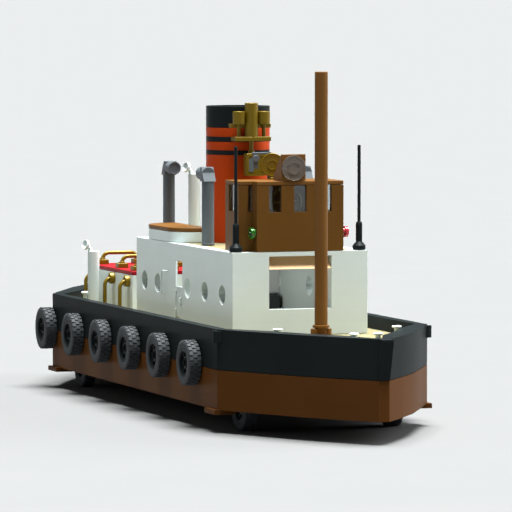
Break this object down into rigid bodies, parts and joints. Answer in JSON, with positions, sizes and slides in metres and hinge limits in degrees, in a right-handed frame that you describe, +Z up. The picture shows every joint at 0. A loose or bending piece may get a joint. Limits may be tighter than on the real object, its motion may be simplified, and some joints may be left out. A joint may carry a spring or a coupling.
{
  "type": "toy tugboat built from plastic bricks",
  "caption": "Toy tugboat of plastic bricks on small rubber tyres, with tyre fenders, a hollow deckhouse, a hinged half door, a wheelhouse, a banded funnel and a mast.",
  "frame": {"origin": "on the floor under the middle of the hull's length and width", "axes": "+X towards the bow, +Y to port, +Z up"},
  "size_m": [0.6726, 0.1806, 0.2564],
  "materials": {
    "black_plastic": "moulded black plastic, glossy",
    "dark_brown_plastic": "moulded dark brown plastic, glossy",
    "dark_grey_plastic": "moulded dark grey plastic, glossy",
    "gold_plastic": "metallic gold plastic",
    "green_lens": "translucent green plastic",
    "light_grey_plastic": "moulded light grey plastic, glossy",
    "orange_plastic": "moulded orange plastic, glossy",
    "pale_yellow_plastic": "moulded pale yellow plastic, glossy",
    "red_lens": "translucent red plastic",
    "red_plastic": "moulded red plastic, glossy",
    "rubber": "matt black rubber",
    "white_plastic": "moulded white plastic, glossy"
  },
  "bodies": {
    "hull": {"antenna_port": "black_plastic", "antenna_starboard": "black_plastic", "axle_mount_bow": "dark_brown_plastic", "axle_mount_stern": "dark_brown_plastic", "cabinet": "light_grey_plastic", "casing_top": "red_plastic", "cowl_vent_deck_port": "white_plastic", "cowl_vent_deck_starboard": "white_plastic", "cowl_vent_roof_port": "white_plastic", "cowl_vent_roof_starboard": "white_plastic", "deck": "pale_yellow_plastic", "engine_block": "black_plastic", "engine_casing": "white_plastic", "exhaust_aft_port": "dark_grey_plastic", "exhaust_aft_starboard": "dark_grey_plastic", "exhaust_fore_port": "dark_grey_plastic", "exhaust_fore_starboard": "dark_grey_plastic", "fender_port_1": "rubber", "fender_port_2": "rubber", "fender_port_3": "rubber", "fender_port_4": "rubber", "fender_port_5": "rubber", "fender_port_6": "rubber", "fender_starboard_1": "rubber", "fender_starboard_2": "rubber", "fender_starboard_3": "rubber", "fender_starboard_4": "rubber", "fender_starboard_5": "rubber", "fender_starboard_6": "rubber", "funnel": "orange_plastic", "helm": "gold_plastic", "house_roof": "pale_yellow_plastic", "house_walls": "white_plastic", "hull_lower": "dark_brown_plastic", "hull_upper": "black_plastic", "lamp_box": "dark_brown_plastic", "locker_lid_port": "dark_brown_plastic", "locker_lid_starboard": "dark_brown_plastic", "mast": "dark_brown_plastic", "nav_light_port": "red_lens", "nav_light_starboard": "green_lens", "roof_locker_port": "white_plastic", "roof_locker_starboard": "white_plastic", "search_lamp": "gold_plastic", "stem_bow": "black_plastic", "stem_stern": "black_plastic", "wheelhouse_roof": "dark_brown_plastic", "wheelhouse_walls": "dark_brown_plastic", "whistle": "gold_plastic", "window_brow": "dark_brown_plastic"},
    "wheels_bow": {"axle_bow": "dark_brown_plastic", "tyre_bow_port": "rubber", "tyre_bow_starboard": "rubber"},
    "wheels_stern": {"axle_stern": "dark_brown_plastic", "tyre_stern_port": "rubber", "tyre_stern_starboard": "rubber"},
    "door_starboard": {"door_starboard": "white_plastic"}
  },
  "joints": [
    {"name": "wheels_bow_spin", "type": "hinge", "parent": "hull", "child": "wheels_bow", "pos_m": [0.194, 0, 0.0164], "axis": [0, 1, 0], "continuous": true},
    {"name": "wheels_stern_spin", "type": "hinge", "parent": "hull", "child": "wheels_stern", "pos_m": [-0.194, 0, 0.0164], "axis": [0, 1, 0], "continuous": true},
    {"name": "door_starboard_swing", "type": "hinge", "parent": "hull", "child": "door_starboard", "pos_m": [0.0245, -0.052, 0.082], "axis": [0, 0, -1], "range_deg": [0, 90]}
  ]
}
